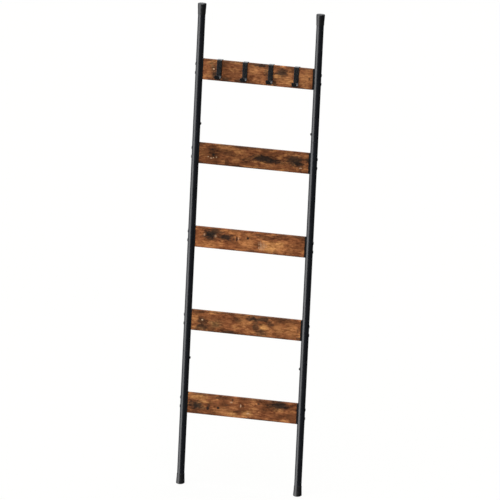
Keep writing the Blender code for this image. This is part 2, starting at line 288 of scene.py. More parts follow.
class Nodes:
    """A short way to write a node tree: each method adds one node and gives back its result."""

    def __init__(self, name):
        self.material = bpy.data.materials.new(name)
        self.material.use_nodes = True
        self.tree = self.material.node_tree
        self.shader = self.tree.nodes["Principled BSDF"]

    def add(self, kind, **settings):
        node = self.tree.nodes.new(kind)
        for key, value in settings.items():
            setattr(node, key, value)
        return node

    def plug(self, source, target):
        """Sets a socket: by a link if the source is a socket, or else by its value."""
        if isinstance(source, bpy.types.NodeSocket):
            self.tree.links.new(source, target)
        else:
            target.default_value = source

    def coords(self, scale=(1, 1, 1), offset=(0, 0, 0), source=None):
        mapping = self.add("ShaderNodeMapping")
        if source is None:
            source = self.add("ShaderNodeTexCoord").outputs["Object"]
        self.plug(source, mapping.inputs["Vector"])
        mapping.inputs["Scale"].default_value = scale
        mapping.inputs["Location"].default_value = offset
        return mapping.outputs["Vector"]

    def noise(self, vector, scale, detail=2.0, roughness=0.5, distortion=0.0):
        node = self.add("ShaderNodeTexNoise")
        self.plug(vector, node.inputs["Vector"])
        node.inputs["Scale"].default_value = scale
        node.inputs["Detail"].default_value = detail
        node.inputs["Roughness"].default_value = roughness
        node.inputs["Distortion"].default_value = distortion
        return node.outputs["Fac"]

    def spread(self, value, low, high, to_low=0.0, to_high=1.0, smooth=False):
        """The value from low..high spread to to_low..to_high, clamped."""
        node = self.add("ShaderNodeMapRange", clamp=True)
        if smooth:
            node.interpolation_type = "SMOOTHSTEP"
        self.plug(value, node.inputs["Value"])
        for socket, number in zip(RANGE_SOCKETS, (low, high, to_low, to_high)):
            node.inputs[socket].default_value = number
        return node.outputs["Result"]

    def sum(self, operation, a, b):
        node = self.add("ShaderNodeMath", operation=operation)
        self.plug(a, node.inputs[0])
        self.plug(b, node.inputs[1])
        return node.outputs["Value"]

    def mix(self, share, a, b, blend="MIX"):
        node = self.add("ShaderNodeMix", data_type="RGBA", blend_type=blend)
        self.plug(share, node.inputs["Factor"])
        for value, socket in ((a, node.inputs["A"]), (b, node.inputs["B"])):
            sockets = [s for s in node.inputs if s.name == socket.name and s.type == "RGBA"]
            self.plug(value, sockets[0])
        return [s for s in node.outputs if s.type == "RGBA"][0]

    def ramp(self, value, stops):
        node = self.add("ShaderNodeValToRGB")
        self.plug(value, node.inputs["Fac"])
        elements = node.color_ramp.elements
        while len(elements) < len(stops):
            elements.new(0.5)
        for element, (position, colour) in zip(elements, stops):
            element.position = position
            element.color = (*colour, 1.0)
        return node.outputs["Color"]

    def bump(self, height, strength, distance, under=None):
        node = self.add("ShaderNodeBump")
        self.plug(height, node.inputs["Height"])
        node.inputs["Strength"].default_value = strength
        node.inputs["Distance"].default_value = distance
        if under is not None:
            self.plug(under, node.inputs["Normal"])
        return node.outputs["Normal"]

    def set(self, **sockets):
        for name, value in sockets.items():
            self.plug(value, self.shader.inputs[name.replace("_", " ")])
        return self.material


def rgba(colour):
    return (*colour, 1.0)


def powder_coat():
    """Satin black powder coat: orange peel, a fine grain, and thin patches where it has been rubbed."""
    n = Nodes("satin_black_powder_coat")
    here = n.coords()
    peel = n.noise(here, 620, 2.0, 0.5)
    grain = n.noise(here, 2600, 2.0, 0.6)
    cloud = n.noise(n.coords((1, 1, 0.35)), 38, 3.0, 0.55)
    colour = n.ramp(cloud, [(0.30, (0.0046, 0.0055, 0.0075)), (0.72, (0.0080, 0.0092, 0.0122))])
    rough = n.spread(n.sum("ADD", cloud, n.sum("MULTIPLY", grain, 0.5)), 0.45, 1.05, 0.24, 0.34)
    normal = n.bump(grain, 0.12, 0.0002, n.bump(peel, 0.08, 0.0008))
    return n.set(Base_Color=colour, Roughness=rough, Normal=normal, Specular_IOR_Level=0.50)


def moulded_plastic():
    """Black moulded plastic with a fine spark-eroded grain."""
    n = Nodes("black_moulded_plastic")
    here = n.coords()
    grain = n.noise(here, 1900, 3.0, 0.65)
    cloud = n.noise(here, 90, 3.0, 0.5)
    colour = n.ramp(cloud, [(0.3, (0.0050, 0.0050, 0.0054)), (0.75, (0.0095, 0.0095, 0.0100))])
    rough = n.spread(n.sum("ADD", cloud, grain), 0.7, 1.3, 0.30, 0.44)
    return n.set(Base_Color=colour, Roughness=rough, Normal=n.bump(grain, 0.22, 0.0003))


def saddle_plastic():
    """Matt black plastic of the spacers between boards and posts."""
    n = Nodes("matt_black_plastic")
    here = n.coords()
    grain = n.noise(here, 1400, 3.0, 0.6)
    colour = n.ramp(n.noise(here, 70), [(0.3, (0.0022, 0.0022, 0.0025)), (0.7, (0.0045, 0.0045, 0.0048))])
    rough = n.spread(grain, 0.3, 0.7, 0.55, 0.75)
    normal = n.bump(grain, 0.25, 0.0004)
    return n.set(Base_Color=colour, Roughness=rough, Normal=normal, Specular_IOR_Level=0.12)


def zinc_plate():
    """Bright zinc with the cloudy tint and fine draw lines of a plated tube."""
    n = Nodes("zinc_plated_steel")
    lines = n.noise(n.coords((1, 1, 0.02)), 2400, 2.0, 0.6)
    cloud = n.noise(n.coords(), 130, 4.0, 0.6)
    colour = n.ramp(cloud, [(0.3, (0.52, 0.54, 0.58)), (0.55, (0.62, 0.62, 0.60)), (0.8, (0.66, 0.62, 0.52))])
    rough = n.spread(n.sum("ADD", lines, cloud), 0.7, 1.3, 0.24, 0.42)
    return n.set(Base_Color=colour, Roughness=rough, Metallic=1.0, Normal=n.bump(lines, 0.12, 0.0002))


def black_oxide():
    """Black oxide on steel fasteners: dark, slightly brown, with a mottled sheen."""
    n = Nodes("black_oxide_steel")
    here = n.coords()
    mottle = n.noise(here, 900, 4.0, 0.65)
    colour = n.ramp(mottle, [(0.3, (0.010, 0.010, 0.011)), (0.7, (0.028, 0.026, 0.025))])
    rough = n.spread(mottle, 0.3, 0.7, 0.30, 0.46)
    normal = n.bump(n.noise(here, 3200, 2.0), 0.10, 0.0001)
    return n.set(Base_Color=colour, Roughness=rough, Metallic=0.6, Normal=normal)


def hook_enamel():
    """Semi-gloss black enamel on pressed strip, with a soft ripple and slightly worn gloss."""
    n = Nodes("semi_gloss_black_enamel")
    here = n.coords()
    ripple = n.noise(here, 260, 2.0, 0.5)
    grain = n.noise(here, 2200, 2.0, 0.6)
    colour = n.ramp(ripple, [(0.3, (0.0055, 0.0060, 0.0066)), (0.75, (0.0100, 0.0106, 0.0115))])
    rough = n.spread(n.sum("ADD", ripple, grain), 0.7, 1.3, 0.13, 0.21)
    normal = n.bump(grain, 0.06, 0.0001, n.bump(ripple, 0.06, 0.0002))
    return n.set(Base_Color=colour, Roughness=rough, Normal=normal)


# Colours of the rustic laminate, in linear light.
CHARCOAL = (0.020, 0.015, 0.012)
SOOT = (0.046, 0.029, 0.018)
UMBER = (0.064, 0.027, 0.012)
BROWN = (0.150, 0.057, 0.022)
RUSSET = (0.215, 0.080, 0.032)
TAN = (0.370, 0.165, 0.062)
GOLD = (0.500, 0.255, 0.092)
CREAM = (0.560, 0.400, 0.260)
OLIVE = (0.110, 0.078, 0.036)

# How light each board is, as a factor on red, green and blue.
BOARD_TONES = {
    1: (0.92, 0.86, 0.82),
    2: (0.72, 0.66, 0.60),
    3: (1.05, 0.94, 0.85),
    4: (0.98, 0.90, 0.82),
    5: (0.88, 0.80, 0.75),
}

# Each mark: kind, share of the length from the left end, share of the height from the bottom edge,
# half-length and half-height in millimetres, and strength. Patches tint, smudges darken, knots are
# round and dark, specks are small and pale, saw marks are a block of upright lines.
BOARD_MARKS = {
    1: [
        ("patch", 0.05, 0.55, 26, 24, 0.55, RUSSET),
        ("smudge", 0.115, 0.30, 16, 17, 0.80, SOOT),
        ("patch", 0.085, 0.72, 8, 18, 0.50, OLIVE),
        ("speck", 0.098, 0.56, 3.4, 2.6, 1.00, CREAM),
        ("smudge", 0.21, 0.12, 13, 7, 0.75, SOOT),
        ("patch", 0.28, 0.45, 34, 26, 0.60, BROWN),
        ("smudge", 0.36, 0.10, 20, 7, 0.60, SOOT),
        ("patch", 0.47, 0.72, 20, 16, 0.75, TAN),
        ("patch", 0.52, 0.35, 26, 18, 0.70, RUSSET),
        ("smudge", 0.54, 0.94, 30, 5, 0.85, CHARCOAL),
        ("smudge", 0.585, 0.60, 7, 24, 0.60, SOOT),
        ("smudge", 0.72, 0.68, 20, 17, 0.80, SOOT),
        ("patch", 0.68, 0.50, 14, 6, 0.90, GOLD),
        ("patch", 0.74, 0.30, 24, 16, 0.75, TAN),
        ("smudge", 0.655, 0.18, 8, 14, 0.70, SOOT),
        ("patch", 0.79, 0.66, 7, 22, 0.60, TAN),
        ("smudge", 0.815, 0.80, 4, 12, 0.55, UMBER),
        ("patch", 0.93, 0.55, 22, 26, 0.85, TAN),
        ("patch", 0.91, 0.80, 8, 12, 0.60, RUSSET),
        ("knot", 0.972, 0.52, 3.0, 4.0, 0.75, UMBER),
    ],
    2: [
        ("patch", 0.05, 0.60, 22, 20, 0.70, BROWN),
        ("patch", 0.05, 0.20, 20, 12, 0.60, RUSSET),
        ("smudge", 0.125, 0.66, 17, 15, 0.75, UMBER),
        ("knot", 0.131, 0.49, 4.2, 3.6, 1.00, CHARCOAL),
        ("knot", 0.120, 0.74, 3.4, 3.0, 0.75, CHARCOAL),
        ("speck", 0.083, 0.37, 2.6, 2.0, 0.85, CREAM),
        ("speck", 0.112, 0.31, 4.2, 2.2, 0.90, CREAM),
        ("speck", 0.132, 0.34, 2.6, 2.0, 0.80, CREAM),
        ("speck", 0.159, 0.38, 2.4, 2.2, 0.80, CREAM),
        ("patch", 0.26, 0.86, 34, 9, 0.80, TAN),
        ("patch", 0.345, 0.66, 8, 14, 0.60, TAN),
        ("smudge", 0.26, 0.62, 17, 8, 0.55, UMBER),
        ("patch", 0.345, 0.34, 12, 9, 0.75, TAN),
        ("patch", 0.215, 0.18, 9, 8, 0.70, TAN),
        ("smudge", 0.25, 0.14, 9, 10, 0.60, UMBER),
        ("knot", 0.407, 0.38, 4.0, 3.4, 0.85, UMBER),
        ("smudge", 0.44, 0.40, 18, 9, 0.50, UMBER),
        ("speck", 0.437, 0.64, 3.6, 2.0, 0.45, TAN),
        ("smudge", 0.58, 0.54, 42, 13, 0.86, CHARCOAL),
        ("smudge", 0.68, 0.43, 38, 8, 0.76, CHARCOAL),
        ("patch", 0.48, 0.80, 26, 9, 0.50, RUSSET),
        ("patch", 0.70, 0.78, 26, 9, 0.50, BROWN),
        ("patch", 0.74, 0.22, 36, 9, 0.80, RUSSET),
        ("smudge", 0.87, 0.60, 30, 18, 0.80, SOOT),
        ("smudge", 0.90, 0.44, 20, 11, 0.80, CHARCOAL),
        ("patch", 0.975, 0.82, 8, 9, 0.55, TAN),
        ("speck", 0.930, 0.24, 5.0, 2.2, 0.80, CREAM),
        ("patch", 0.965, 0.24, 9, 10, 0.70, TAN),
        ("smudge", 0.985, 0.62, 6, 9, 0.70, CHARCOAL),
    ],
    3: [
        ("patch", 0.04, 0.55, 14, 28, 0.55, RUSSET),
        ("patch", 0.12, 0.20, 36, 12, 0.75, TAN),
        ("patch", 0.31, 0.20, 36, 11, 0.55, RUSSET),
        ("smudge", 0.135, 0.68, 24, 17, 0.92, CHARCOAL),
        ("smudge", 0.20, 0.84, 22, 8, 0.70, SOOT),
        ("patch", 0.33, 0.86, 26, 7, 0.70, TAN),
        ("smudge", 0.28, 0.60, 26, 11, 0.85, CHARCOAL),
        ("speck", 0.082, 0.64, 3.0, 5.0, 0.40, CREAM),
        ("speck", 0.185, 0.62, 4.5, 5.0, 0.35, CREAM),
        ("knot", 0.380, 0.58, 2.4, 8.0, 0.95, CHARCOAL),
        ("knot", 0.352, 0.54, 2.0, 5.0, 0.60, SOOT),
        ("speck", 0.396, 0.60, 1.6, 6.0, 0.55, CREAM),
        ("knot", 0.481, 0.66, 3.8, 3.6, 1.00, CHARCOAL),
        ("patch", 0.48, 0.40, 26, 20, 0.80, TAN),
        ("patch", 0.50, 0.84, 20, 6, 0.80, TAN),
        ("smudge", 0.57, 0.86, 11, 6, 0.70, SOOT),
        ("smudge", 0.64, 0.78, 22, 10, 0.60, UMBER),
        ("saw", 0.61, 0.34, 12, 17, 0.60, CREAM),
        ("patch", 0.69, 0.32, 26, 18, 0.85, GOLD),
        ("patch", 0.78, 0.52, 16, 10, 0.90, GOLD),
        ("patch", 0.79, 0.26, 16, 14, 0.75, TAN),
        ("smudge", 0.745, 0.86, 16, 8, 0.65, UMBER),
        ("smudge", 0.515, 0.06, 22, 4, 0.65, SOOT),
        ("patch", 0.93, 0.45, 26, 24, 0.60, BROWN),
        ("patch", 0.87, 0.40, 10, 20, 0.50, TAN),
    ],
    4: [
        ("patch", 0.03, 0.62, 14, 16, 0.80, TAN),
        ("smudge", 0.097, 0.50, 14, 14, 0.65, SOOT),
        ("speck", 0.098, 0.55, 3.4, 2.6, 1.00, CREAM),
        ("smudge", 0.095, 0.18, 22, 12, 0.75, SOOT),
        ("smudge", 0.18, 0.12, 18, 8, 0.60, UMBER),
        ("patch", 0.22, 0.42, 26, 13, 0.60, OLIVE),
        ("patch", 0.20, 0.78, 44, 12, 0.50, RUSSET),
        ("patch", 0.34, 0.52, 24, 17, 0.60, RUSSET),
        ("patch", 0.48, 0.62, 22, 13, 0.75, TAN),
        ("smudge", 0.42, 0.78, 8, 7, 0.65, UMBER),
        ("patch", 0.46, 0.90, 18, 5, 0.60, TAN),
        ("smudge", 0.345, 0.08, 22, 5, 0.75, CHARCOAL),
        ("smudge", 0.555, 0.84, 15, 8, 0.90, CHARCOAL),
        ("smudge", 0.64, 0.86, 34, 7, 0.80, SOOT),
        ("smudge", 0.59, 0.55, 9, 22, 0.60, SOOT),
        ("smudge", 0.72, 0.66, 11, 14, 0.55, SOOT),
        ("patch", 0.66, 0.48, 14, 9, 0.95, GOLD),
        ("smudge", 0.645, 0.22, 17, 14, 0.70, SOOT),
        ("patch", 0.80, 0.46, 18, 18, 0.75, TAN),
        ("smudge", 0.80, 0.84, 22, 8, 0.45, UMBER),
        ("patch", 0.92, 0.50, 24, 24, 0.80, TAN),
        ("knot", 0.975, 0.48, 3.0, 5.5, 0.60, UMBER),
        ("smudge", 0.985, 0.10, 8, 7, 0.60, SOOT),
    ],
    5: [
        ("patch", 0.10, 0.84, 34, 9, 0.95, GOLD),
        ("patch", 0.15, 0.63, 22, 4, 0.90, GOLD),
        ("smudge", 0.02, 0.50, 8, 12, 0.75, CHARCOAL),
        ("smudge", 0.085, 0.42, 20, 15, 0.90, SOOT),
        ("knot", 0.072, 0.38, 6.5, 5.5, 0.70, CHARCOAL),
        ("smudge", 0.06, 0.14, 18, 8, 0.55, UMBER),
        ("knot", 0.185, 0.32, 4.4, 5.2, 0.95, CHARCOAL),
        ("knot", 0.195, 0.46, 3.6, 4.4, 0.70, SOOT),
        ("patch", 0.145, 0.30, 8, 6, 0.40, OLIVE),
        ("knot", 0.281, 0.39, 4.0, 3.8, 1.00, CHARCOAL),
        ("knot", 0.27, 0.87, 5.5, 2.6, 0.80, SOOT),
        ("smudge", 0.33, 0.90, 28, 5, 0.60, UMBER),
        ("knot", 0.412, 0.86, 3.2, 3.6, 0.90, SOOT),
        ("speck", 0.400, 0.73, 5.0, 3.2, 0.55, CREAM),
        ("knot", 0.36, 0.58, 5.0, 2.2, 0.65, SOOT),
        ("patch", 0.46, 0.66, 34, 20, 0.55, RUSSET),
        ("patch", 0.32, 0.24, 34, 14, 0.75, TAN),
        ("speck", 0.487, 0.60, 2.6, 5.6, 0.65, CREAM),
        ("knot", 0.512, 0.60, 3.4, 4.0, 0.60, UMBER),
        ("knot", 0.65, 0.79, 4.2, 2.6, 0.80, SOOT),
        ("patch", 0.55, 0.26, 18, 9, 0.95, GOLD),
        ("speck", 0.556, 0.27, 5.5, 3.0, 0.55, CREAM),
        ("patch", 0.41, 0.16, 16, 8, 0.80, GOLD),
        ("patch", 0.72, 0.28, 36, 12, 0.55, RUSSET),
        ("smudge", 0.835, 0.80, 36, 14, 0.86, CHARCOAL),
        ("smudge", 0.80, 0.60, 12, 8, 0.50, UMBER),
        ("patch", 0.87, 0.50, 18, 6, 0.55, RUSSET),
        ("patch", 0.95, 0.30, 16, 20, 0.50, BROWN),
    ],
}

SPAN = 2 * abs(in_plane(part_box("rung_board_2")[0]).x)

# The laminate's base colours, from the darkest blotches to the lightest, by the noise that lays them.
BLOTCH_STOPS = [(0.28, UMBER), (0.42, BROWN), (0.52, RUSSET), (0.62, TAN), (0.76, GOLD)]

# What the grain and the mottling multiply the colour by, from their low to their high values.
GRAIN_SHADES = [(0.36, (0.54, 0.48, 0.45)), (0.50, (1.0, 1.0, 1.0)), (0.64, (1.44, 1.46, 1.48))]
MOTTLE_SHADES = [(0.34, (0.50, 0.42, 0.38)), (0.50, (1.0, 1.0, 1.0)), (0.66, (1.32, 1.38, 1.36))]

# How far noise pulls the soft marks about, in metres along and up the board.
WANDER = Vector((0.025, 0.0, 0.011))

# Where a mark begins and where it is at full strength, as shares of its size.
MARK_REACH = {
    "patch": (1.50, 0.20),
    "smudge": (1.50, 0.40),
    "knot": (1.50, 0.85),
    "speck": (1.20, 0.55),
    "saw": (1.15, 0.65),
}


def wandering(n, here, shift):
    """The board's coordinates pulled about by noise, so that no soft mark has a plain outline."""
    wander = n.add("ShaderNodeTexNoise")
    n.plug(n.coords((1, 1, 2.2), shift), wander.inputs["Vector"])
    wander.inputs["Scale"].default_value = 70
    wander.inputs["Detail"].default_value = 4.0
    wander.inputs["Roughness"].default_value = 0.62
    pull = n.add("ShaderNodeVectorMath", operation="MULTIPLY_ADD")
    n.plug(wander.outputs["Color"], pull.inputs[0])
    pull.inputs[1].default_value = 2 * WANDER
    pull.inputs[2].default_value = -WANDER
    warp = n.add("ShaderNodeVectorMath", operation="ADD")
    n.plug(here, warp.inputs[0])
    n.plug(pull.outputs["Vector"], warp.inputs[1])
    return warp.outputs["Vector"]


def near(n, where, mark):
    """How far a point is from a mark's middle, as a share of the mark's size."""
    _, along, up, half_length, half_height, _, _ = mark
    centre = Vector(((along - 0.5) * SPAN, 0, (up - 0.5) * BOARD_HEIGHT))
    scale = Vector((1 / (half_length * MM), 0, 1 / (half_height * MM)))
    offset = Vector((-centre.x * scale.x, 0, -centre.z * scale.z))
    length = n.add("ShaderNodeVectorMath", operation="LENGTH")
    n.plug(n.coords(scale, offset, where), length.inputs[0])
    return length.outputs["Value"]


def soft_marks(n, colour, number, warped, ragged):
    """The patches that tint a board and the smudges that darken it, with soft and ragged edges."""
    for mark in BOARD_MARKS[number]:
        kind, *_, strength, tint = mark
        if kind in ("patch", "smudge"):
            reach = n.sum("ADD", near(n, warped, mark), ragged)
            full = min(1.0, strength * 1.1)
            share = n.spread(reach, *MARK_REACH[kind], 0.0, full, smooth=True)
            colour = n.mix(share, colour, rgba(tint))
    return colour


def small_marks(n, colour, relief, number, here, warped, ragged):
    """A board's blocks of saw lines, its knots and its pale specks. Knots also go into the relief."""
    for mark in BOARD_MARKS[number]:
        kind, *_, strength, tint = mark
        if kind == "saw":
            wave = n.add("ShaderNodeTexWave", bands_direction="X")
            n.plug(n.coords(offset=(0.001, 0, 0)), wave.inputs["Vector"])
            wave.inputs["Scale"].default_value = 62.0
            wave.inputs["Distortion"].default_value = 0.6
            lines = n.spread(wave.outputs["Fac"], 0.45, 0.85)
            block = n.spread(near(n, warped, mark), *MARK_REACH[kind], 0.0, strength)
            colour = n.mix(n.sum("MULTIPLY", block, lines), colour, rgba(tint))
        if kind in ("knot", "speck"):
            reach = n.sum("ADD", near(n, here, mark), n.sum("MULTIPLY", ragged, 0.5))
            share = n.spread(reach, *MARK_REACH[kind], 0.0, strength)
            colour = n.mix(share, colour, rgba(tint))
            if kind == "knot":
                relief = n.sum("SUBTRACT", relief, n.sum("MULTIPLY", share, 0.5))
    return colour, relief


def shaded(n, colour, value, shades):
    return n.mix(1.0, colour, n.ramp(value, shades), "MULTIPLY")


def long_grain(n, shift):
    """Streaks and finer fibres that run along the board."""
    streak = n.noise(n.coords((0.045, 1, 1), shift), 620, 4.0, 0.62, 0.15)
    fibre = n.noise(n.coords((0.03, 1, 1), shift), 1900, 2.0, 0.6)
    return n.sum("ADD", n.sum("MULTIPLY", streak, 0.65), n.sum("MULTIPLY", fibre, 0.35))


def scored(n, colour, shift):
    """Faint upright saw scores, here and there."""
    lines = n.noise(n.coords((1, 1, 0.05), shift), 420, 3.0, 0.65)
    area = n.spread(n.noise(n.coords((1, 1, 1.6), shift), 34, 2.0), 0.50, 0.64)
    scores = n.sum("MULTIPLY", n.spread(lines, 0.56, 0.70), area)
    return n.mix(n.sum("MULTIPLY", scores, 0.40), colour, rgba(UMBER))


def flecked(n, colour, number):
    """Small light flecks all over."""
    fleck = n.noise(n.coords((0.6, 1, 1), (7.1, 0, 3.3 * number)), 260, 2.0, 0.7)
    return n.mix(n.spread(fleck, 0.69, 0.76, 0.0, 0.55), colour, rgba(GOLD))


def painted_edge_shade(n, colour, here, shift):
    """Painted shade along stretches of the bottom edge, and a fainter dark band along stretches of the top
    edge.
    """
    height = n.add("ShaderNodeSeparateXYZ")
    n.plug(here, height.inputs["Vector"])
    stretches = n.spread(n.noise(n.coords((1, 0, 0), shift), 14, 2.0), 0.42, 0.56)
    # The bottom band is painted shade, standing in for the shadow under the board's lower edge.
    low = n.spread(height.outputs["Z"], -0.0305, -0.0335, 0.0, 0.75)
    high = n.spread(height.outputs["Z"], 0.0290, 0.0315, 0.0, 0.45)
    return n.mix(n.sum("MULTIPLY", n.sum("ADD", low, high), stretches), colour, rgba(SOOT))


def rustic_board(number):
    """Printed rustic laminate: brown and tan blotches with grain, soot, knots, saw marks and pale specks.

    The grain and blotches come from noise that runs along the board. The marks are this board's own.
    """
    n = Nodes(f"rustic_board_{number}")
    shift = (0.37 * number, 0.11 * number, 0.53 * number)
    here = n.coords()
    warped = wandering(n, here, shift)
    mottle = n.noise(n.coords((0.45, 1, 1), shift), 165, 4.0, 0.66, 0.4)
    ragged = n.sum("MULTIPLY", n.sum("SUBTRACT", mottle, 0.5), 1.2)
    grain = long_grain(n, shift)

    blotch = n.noise(n.coords((1, 1, 2.6), shift), 22, 5.0, 0.58)
    colour = soft_marks(n, n.ramp(blotch, BLOTCH_STOPS), number, warped, ragged)
    colour = shaded(n, colour, grain, GRAIN_SHADES)
    colour = shaded(n, colour, mottle, MOTTLE_SHADES)
    colour = scored(n, colour, shift)
    pits = n.spread(n.noise(n.coords((0.35, 1, 1), shift), 300, 3.0, 0.6), 0.66, 0.74, 0.0, 0.75)
    colour = flecked(n, n.mix(pits, colour, rgba(SOOT)), number)

    relief = n.sum("SUBTRACT", grain, n.sum("MULTIPLY", pits, 0.6))
    colour, relief = small_marks(n, colour, relief, number, here, warped, ragged)
    # Painted shade darkens stretches of the board's bottom edge; a fainter dark band runs along the top.
    colour = painted_edge_shade(n, colour, here, shift)
    colour = n.mix(1.0, colour, rgba(BOARD_TONES[number]), "MULTIPLY")
    rough = n.spread(grain, 0.35, 0.65, 0.66, 0.52)
    normal = n.bump(relief, 0.35, 0.0006)
    return n.set(Base_Color=colour, Roughness=rough, Normal=normal, Specular_IOR_Level=0.05)


POWDER = powder_coat()
PLASTIC = moulded_plastic()
SADDLE = saddle_plastic()
ZINC = zinc_plate()
OXIDE = black_oxide()
ENAMEL = hook_enamel()


# ---------------------------------------------------------------- posts


def tube_profile(radius, wall, bottom, top):
    """A tube's outline with its four edges broken, as a saw and a tumbler leave them."""
    edge = wall * TUBE_EDGE_SHARE
    bore = radius - wall
    return [
        (radius, top - edge),
        (radius, bottom + edge),
        (radius - edge, bottom),
        (bore + edge, bottom),
        (bore, bottom + edge),
        (bore, top - edge),
        (bore + edge, top),
        (radius - edge, top),
    ]


def post_at(side, height=0.0):
    return Matrix.Translation((SIDES[side] * POST_X, 0, height))


def make_posts():
    bottom = FOOT_END_THICKNESS + GAP
    top = POST_LENGTH - CAP_END_THICKNESS - GAP
    spans = {
        "lower": (bottom, SEAMS[0]),
        "middle": (SEAMS[0] + GAP, SEAMS[1]),
        "upper": (SEAMS[1] + GAP, top),
    }
    for level, (low, high) in spans.items():
        profile = tube_profile(TUBE_RADIUS, TUBE_WALL, low, high)
        mesh = turned(f"post_{level}_tube", profile, ROUND_SIDES)
        for side in SIDES:
            node = f"{side}_post_{level}_tube"
            place(f"{side}_{level}_post_tube", mesh, node, POWDER, post_at(side))


def make_sleeves():
    half = SLEEVE_LENGTH / 2
    mesh = turned("joint_sleeve", tube_profile(SLEEVE_RADIUS, SLEEVE_WALL, -half, half), ROUND_SIDES)
    for side in SIDES:
        for level, seam in zip(("lower", "upper"), SEAMS):
            node = f"{side}_{level}_joint_sleeve"
            place(f"{side}_{level}_sleeve", mesh, node, ZINC, post_at(side, seam))


def cap_profile(end_thickness):
    """A flared cup, tip up: crowned and rounded at the tip, tapering in a soft curve to its mouth."""
    shoulder = CAP_TIP_RADIUS - CAP_ROUNDING
    crown = [(shoulder * i / 5, -CAP_CROWN * (i / 5) ** 2) for i in range(6)]
    rim = arc((shoulder, -CAP_ROUNDING - CAP_CROWN), CAP_ROUNDING, 90, 0, 8)
    flare_end = CAP_MOUTH_RADIUS + CAP_DRAFT
    flare = []
    for i in range(13):
        share = i / 12
        ease = share * share * (3 - 2 * share)
        down = CAP_FLARE_FROM + (CAP_FLARE_TO - CAP_FLARE_FROM) * share
        flare.append((CAP_TIP_RADIUS + (flare_end - CAP_TIP_RADIUS) * ease, -CAP_LENGTH * down))
    bore = TUBE_RADIUS + GAP
    lip_centre = (CAP_MOUTH_RADIUS - CAP_LIP_ROUNDING, -CAP_LENGTH + CAP_LIP_ROUNDING)
    lip = arc(lip_centre, CAP_LIP_ROUNDING, 0, -90, 3)
    inside = [(bore, -CAP_LENGTH), (bore, -end_thickness), (0, -end_thickness)]
    return [*crown, *rim[1:], *flare, *lip, *inside]


def make_top_caps():
    mesh = turned("top_cap", cap_profile(CAP_END_THICKNESS), ROUND_SIDES)
    for side in SIDES:
        node = f"{side}_top_cap"
        place(f"{side}_top_end_cap", mesh, node, PLASTIC, post_at(side, POST_LENGTH))


def make_feet():
    """The same flared cup, tip down, cut level with the floor and with its sole's edge broken."""
    spare = CAP_TIP_RADIUS * math.tan(LEAN) + CAP_ROUNDING + CAP_CROWN
    mesh = turned("foot_cap", cap_profile(FOOT_END_THICKNESS + spare), ROUND_SIDES)
    mesh.transform(Matrix.Translation((0, 0, -spare)) @ spin("X", 180))
    shape = bmesh.new()
    shape.from_mesh(mesh)
    floor_normal = LADDER.to_3x3().inverted() @ Vector((0, 0, 1))
    everything = shape.verts[:] + shape.edges[:] + shape.faces[:]
    cut = bmesh.ops.bisect_plane(
        shape, geom=everything, plane_co=(0, 0, 0), plane_no=floor_normal, clear_inner=True
    )
    edges = [item for item in cut["geom_cut"] if isinstance(item, bmesh.types.BMEdge)]
    sole = bmesh.ops.edgeloop_fill(shape, edges=edges)
    rim = list(sole["faces"][0].edges)
    bmesh.ops.bevel(shape, geom=rim, offset=SOLE_ROUNDING, segments=3, profile=0.6, affect="EDGES")
    foot = finish_mesh("level_foot_cap", shape)
    for side in SIDES:
        place(f"{side}_foot_end_cap", foot, f"{side}_foot_cap", PLASTIC, post_at(side))


# ---------------------------------------------------------------- boards and saddles


def rounded_box(name, size, radius, segments):
    shape = bmesh.new()
    bmesh.ops.create_cube(shape, size=1.0)
    bmesh.ops.scale(shape, vec=size, verts=shape.verts)
    bmesh.ops.bevel(
        shape, geom=shape.edges[:], offset=radius, segments=segments, profile=0.5, affect="EDGES"
    )
    return finish_mesh(name, shape, FLAT_FACE_SHARP_ANGLE)


def make_boards():
    for number in range(1, 6):
        node = f"rung_board_{number}"
        mesh = rounded_box(node, (SPAN, BOARD_THICKNESS, BOARD_HEIGHT), BOARD_EDGE, 3)
        at = Matrix.Translation((0, 0, middle(node).z))
        place(f"rung_{number}_board", mesh, node, rustic_board(number), at)


def saddle_mesh():
    """A spacer for the right-hand end of a board: flat to the board, hollow to the post, edges broken."""
    seat = TUBE_RADIUS + GAP
    half = BOARD_THICKNESS / 2
    reach = math.degrees(math.asin(half / seat))
    flat_x = -(seat + SADDLE_WALL)
    outline = arc((0, 0), seat, 180 - reach, 180 + reach, 20)
    outline += [(flat_x, -half), (flat_x, half)]
    shape = bmesh.new()
    low = [shape.verts.new((x, y, -SADDLE_HEIGHT / 2)) for x, y in outline]
    face = shape.faces.new(low)
    lifted = bmesh.ops.extrude_face_region(shape, geom=[face])
    top = [item for item in lifted["geom"] if isinstance(item, bmesh.types.BMVert)]
    bmesh.ops.translate(shape, vec=(0, 0, SADDLE_HEIGHT), verts=top)
    bmesh.ops.recalc_face_normals(shape, faces=shape.faces)
    sharp = [e for e in shape.edges if e.calc_face_angle(0.0) > math.radians(SHARP_ANGLE)]
    bmesh.ops.bevel(shape, geom=sharp, offset=SADDLE_EDGE, segments=2, profile=0.5, affect="EDGES")
    return finish_mesh("saddle", shape, SADDLE_SHARP_ANGLE)


def make_saddles():
    mesh = saddle_mesh()
    for number in range(1, 6):
        height = middle(f"rung_board_{number}").z
        for side, sign in SIDES.items():
            node = f"rung_{number}_{side}_saddle"
            turn_round = spin("Z", 0 if sign > 0 else 180)
            at = post_at(side, height) @ turn_round
            place(f"rung_{number}_{side}_spacer", mesh, node, SADDLE, at)


# ---------------------------------------------------------------- fasteners


def rod(name, radius, bottom, top, sides):
    return turned(name, [(0, top), (radius, top), (radius, bottom), (0, bottom)], sides)


